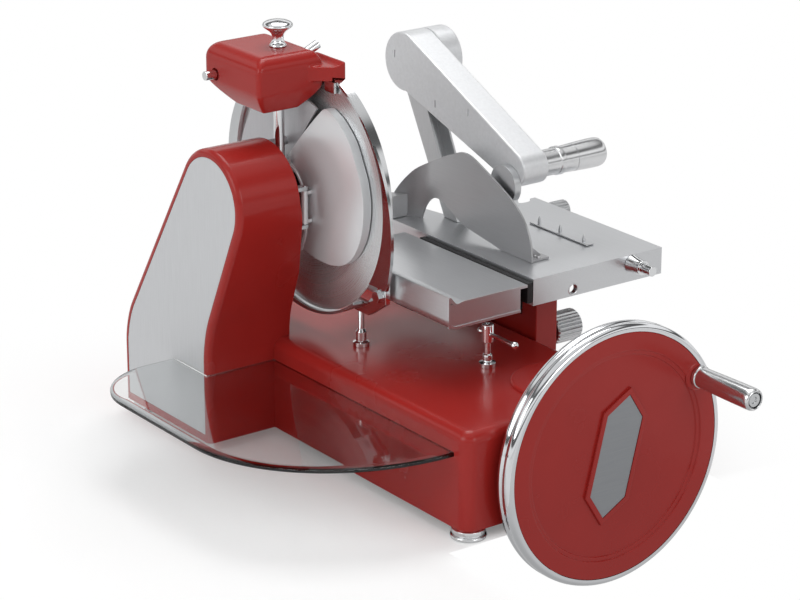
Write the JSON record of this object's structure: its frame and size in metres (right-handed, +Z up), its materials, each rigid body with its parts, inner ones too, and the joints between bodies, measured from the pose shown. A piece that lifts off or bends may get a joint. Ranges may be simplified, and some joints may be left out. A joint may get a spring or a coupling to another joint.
{
  "type": "hand crank meat slicer",
  "caption": "Flywheel meat slicer with a round blade, sliding meat table, press arm, sharpener head on a rod and a glass tray that catches the slices",
  "frame": {"origin": "Middle of the flat underside of the front left foot, where it rests on the counter", "axes": "+Z up; +Y runs from the operator's side to the back, along the flywheel shaft and the table's travel; +X runs to the right, along the blade's shaft"},
  "size_m": [0.6403, 0.707, 0.6053],
  "materials": {
    "red_paint": "smooth high gloss red enamel",
    "silver_paint": "fine satin silver sheet",
    "aluminium": "satin anodised aluminium",
    "steel": "ground and polished steel",
    "chrome": "mirror polished chrome",
    "dark_steel": "oiled dark steel",
    "cast": "grey primed casting",
    "bronze": "turned bronze",
    "black": "matte black sealing strip",
    "glass": "clear glass, bevelled dark edge",
    "stone": "bonded grinding grit"
  },
  "bodies": {
    "frame": {"base_casting": "red_paint", "base_cover": "dark_steel", "foot_front_left": "chrome", "foot_front_right": "chrome", "foot_rear_left": "chrome", "foot_rear_right": "chrome", "tower_housing": "red_paint", "tower_plate": "silver_paint", "slice_tray": "glass", "front_bearing": "bronze", "cross_sleeve": "bronze", "drive_frame": "cast", "blade_chain": "dark_steel", "carriage_chain": "dark_steel", "blade_sleeve": "cast", "guard_ring": "aluminium", "rear_guard": "aluminium", "blade_cover": "silver_paint", "deflector": "steel", "deflector_bracket": "steel", "guard_post": "chrome", "sharpener_rod": "chrome", "carriage_wall": "red_paint", "guide_rail": "chrome", "lever_post": "chrome"},
    "flywheel": {"flywheel_disc": "red_paint", "flywheel_rim": "chrome", "wheel_badge": "silver_paint", "flywheel_shaft": "steel", "crank_pin": "steel"},
    "crank_handle": {"crank_grip": "chrome"},
    "cross_drive": {"cross_shaft": "steel"},
    "loop_wheel": {"loop_sprocket": "steel"},
    "blade_unit": {"blade": "steel", "blade_shaft": "steel", "blade_cap": "chrome"},
    "carriage": {"saddle": "cast", "drive_pin": "steel", "carriage_tray": "aluminium", "sealing_strip": "black"},
    "table_unit": {"meat_table": "aluminium", "guard_plate": "silver_paint", "guard_block": "aluminium", "spike_strip": "steel", "arm_post": "silver_paint"},
    "arm_unit": {"press_arm": "aluminium", "arm_hub": "aluminium", "arm_grip": "chrome", "press_foot": "steel"},
    "release": {"release_shaft": "chrome"},
    "feed": {"feed_screw": "aluminium"},
    "sharpener": {"sharpener_head": "red_paint", "sharpener_stub": "chrome", "sharpener_axle": "chrome", "sharpening_stone": "stone", "guard_clip": "chrome"},
    "sharpener_top": {"sharpener_knob": "chrome"},
    "thickness": {"thickness_knob": "aluminium"},
    "clamp": {"guard_clamp_knob": "chrome"},
    "lever": {"table_lever": "chrome"}
  },
  "joints": [
    {"name": "flywheel_spin", "type": "hinge", "parent": "frame", "child": "flywheel", "pos_m": [0.173, 0, 0.07], "axis": [0, 1, 0], "continuous": true},
    {"name": "grip_spin", "type": "hinge", "parent": "flywheel", "child": "crank_handle", "pos_m": [0.29215, -0.1, 0.14159], "axis": [0, 1, 0], "continuous": true},
    {"name": "cross_spin", "type": "hinge", "parent": "frame", "child": "cross_drive", "pos_m": [0, 0.47, 0.07], "axis": [1, 0, 0], "continuous": true},
    {"name": "loop_spin", "type": "hinge", "parent": "frame", "child": "loop_wheel", "pos_m": [0.217, 0.27, 0.07], "axis": [1, 0, 0], "continuous": true},
    {"name": "blade_spin", "type": "hinge", "parent": "frame", "child": "blade_unit", "pos_m": [0, 0.367, 0.31], "axis": [1, 0, 0], "continuous": true},
    {"name": "carriage_slide", "type": "slide", "parent": "frame", "child": "carriage", "axis": [0, 1, 0], "range_m": [0, 0.25]},
    {"name": "table_feed", "type": "slide", "parent": "carriage", "child": "table_unit", "axis": [1, 0, 0], "range_m": [0, 0.09]},
    {"name": "feed_turn", "type": "hinge", "parent": "table_unit", "child": "feed", "pos_m": [0.392, 0.33, 0.222], "axis": [1, 0, 0], "range_deg": [-1, 2161]},
    {"name": "arm_lift", "type": "hinge", "parent": "table_unit", "child": "arm_unit", "pos_m": [0.253, 0.445, 0.415], "axis": [-1, 0, 0], "range_deg": [0, 60]},
    {"name": "release_turn", "type": "hinge", "parent": "table_unit", "child": "release", "pos_m": [0.334, 0.1, 0.222], "axis": [0, 1, 0], "range_deg": [-45, 45]},
    {"name": "sharpener_lift", "type": "slide", "parent": "frame", "child": "sharpener", "axis": [0, 0, 1], "range_m": [0, 0.03]},
    {"name": "sharpener_knob_turn", "type": "hinge", "parent": "sharpener", "child": "sharpener_top", "pos_m": [0.002, 0.373, 0.5], "axis": [0, 0, 1], "range_deg": [-180, 180]},
    {"name": "thickness_turn", "type": "hinge", "parent": "frame", "child": "thickness", "pos_m": [0.296, 0.202, 0.126], "axis": [1, 0, 0], "range_deg": [-150, 150]},
    {"name": "clamp_turn", "type": "hinge", "parent": "frame", "child": "clamp", "pos_m": [0.046, 0.236, 0.207], "axis": [1, 0, 0], "range_deg": [-180, 180]},
    {"name": "lever_turn", "type": "hinge", "parent": "frame", "child": "lever", "pos_m": [0.134, 0.14, 0.17], "axis": [0, 0, 1], "range_deg": [-60, 90]}
  ],
  "couplings": [
    {"joint": "cross_spin", "follows": "flywheel_spin", "ratio": -2},
    {"joint": "loop_spin", "follows": "flywheel_spin", "ratio": -2},
    {"joint": "blade_spin", "follows": "flywheel_spin", "ratio": -2},
    {"joint": "feed_turn", "follows": "table_feed", "rad_per_m": 418.88}
  ]
}
